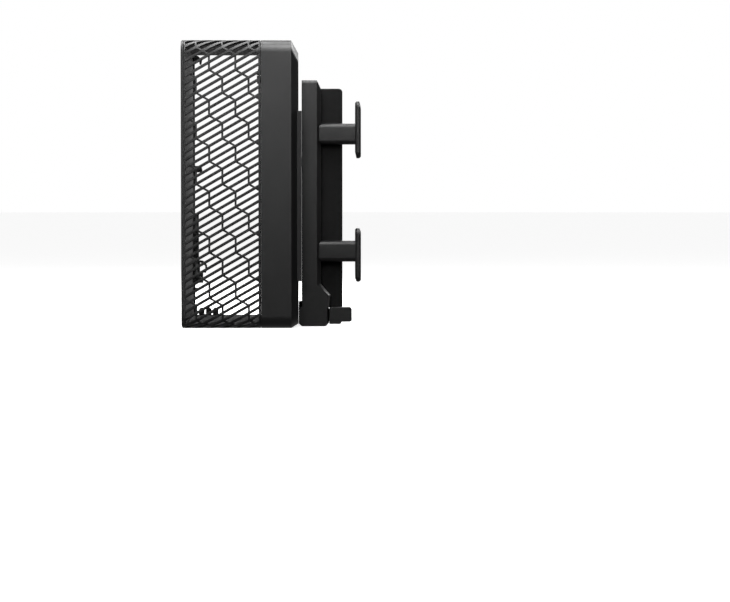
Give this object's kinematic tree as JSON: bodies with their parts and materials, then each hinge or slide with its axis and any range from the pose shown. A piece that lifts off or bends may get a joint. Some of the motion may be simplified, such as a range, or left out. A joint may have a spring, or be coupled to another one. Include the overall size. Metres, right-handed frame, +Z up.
{
  "type": "mini pc",
  "caption": "Upright mini PC: a shallow chamfered tray with a deep open honeycomb shroud, held on a channel bracket with cable posts and a release tab.",
  "frame": {"origin": "on the standing surface, under the middle of the whole object's box", "axes": "+X from the vented shroud towards the bracket, +Y from the grille side towards the connector side, +Z up"},
  "size_m": [0.127, 0.182, 0.2024],
  "materials": {
    "shell_black": "fine moulded texture, satin black",
    "bracket_black": "fine moulded texture, satin black",
    "sheet_black": "black powder coat on sheet steel",
    "zinc_steel": "zinc plated",
    "nickel": "nickel plated, satin",
    "port_steel": "stamped and plated shell",
    "fin_aluminium": "bare extrusion",
    "board_green": "solder mask",
    "component_black": "moulded",
    "light_pipe": "clear moulded",
    "lead_black": "soft sheath",
    "cheek_rubber": "matte moulded rubber face"
  },
  "bodies": {
    "bracket": {"mount_bracket": "bracket_black", "clamp_cheek_near": "cheek_rubber", "clamp_cheek_far": "cheek_rubber", "upper_cable_post": "bracket_black", "lower_cable_post": "bracket_black"},
    "latch": {"release_latch": "bracket_black"},
    "pc": {"rear_tray": "shell_black", "inner_cover": "sheet_black", "adapter_plate": "sheet_black", "plate_screw_1": "zinc_steel", "plate_screw_2": "zinc_steel", "plate_screw_3": "zinc_steel", "plate_screw_4": "zinc_steel", "hanger_stud_1": "zinc_steel", "hanger_stud_2": "zinc_steel", "main_board": "board_green", "board_screw_1": "zinc_steel", "board_screw_2": "zinc_steel", "board_screw_3": "zinc_steel", "board_screw_4": "zinc_steel", "processor_socket": "component_black", "processor": "nickel", "heat_sink": "fin_aluminium", "blower_housing": "component_black", "memory_socket_1": "component_black", "memory_socket_2": "component_black", "memory_module_1": "board_green", "memory_module_2": "board_green", "drive_socket": "component_black", "drive_module": "board_green", "radio_card": "port_steel", "coin_cell": "nickel", "speaker": "component_black", "antenna_1": "zinc_steel", "antenna_2": "zinc_steel", "fan_lead": "lead_black", "antenna_lead_1": "lead_black", "antenna_lead_2": "lead_black", "connector_plate": "sheet_black", "power_inlet": "component_black", "usb_c_port": "port_steel", "display_port_1": "port_steel", "display_port_2": "port_steel", "usb_ports_1": "port_steel", "usb_ports_2": "port_steel", "network_port": "port_steel", "button_switch": "port_steel", "status_light": "light_pipe"},
    "fan": {"fan_rotor": "component_black"},
    "button": {"power_button": "component_black"},
    "shroud": {"near_grille": "shell_black", "top_grille": "shell_black", "bottom_grille": "shell_black", "face_panel": "shell_black", "cover_tab": "zinc_steel"},
    "thumbscrew": {"thumbscrew": "nickel"}
  },
  "joints": [
    {"name": "pc_lift", "type": "slide", "parent": "bracket", "child": "pc", "axis": [0, 0, 1], "range_m": [0, 0.014]},
    {"name": "latch_pull", "type": "slide", "parent": "bracket", "child": "latch", "axis": [1, 0, 0], "range_m": [0, 0.006], "stiffness_N_per_m": 600},
    {"name": "fan_spin", "type": "hinge", "parent": "pc", "child": "fan", "pos_m": [0.003, -0.045, 0.163], "axis": [-1, 0, 0], "continuous": true},
    {"name": "power_button_press", "type": "slide", "parent": "pc", "child": "button", "axis": [0, 0, -1], "range_m": [0, 0.0012], "stiffness_N_per_m": 900},
    {"name": "shroud_pull", "type": "slide", "parent": "pc", "child": "shroud", "axis": [-1, 0, 0], "range_m": [0, 0.06]},
    {"name": "thumbscrew_turn", "type": "hinge", "parent": "shroud", "child": "thumbscrew", "pos_m": [-0.01, 0.076, 0.184], "axis": [-1, 0, 0], "continuous": true}
  ]
}
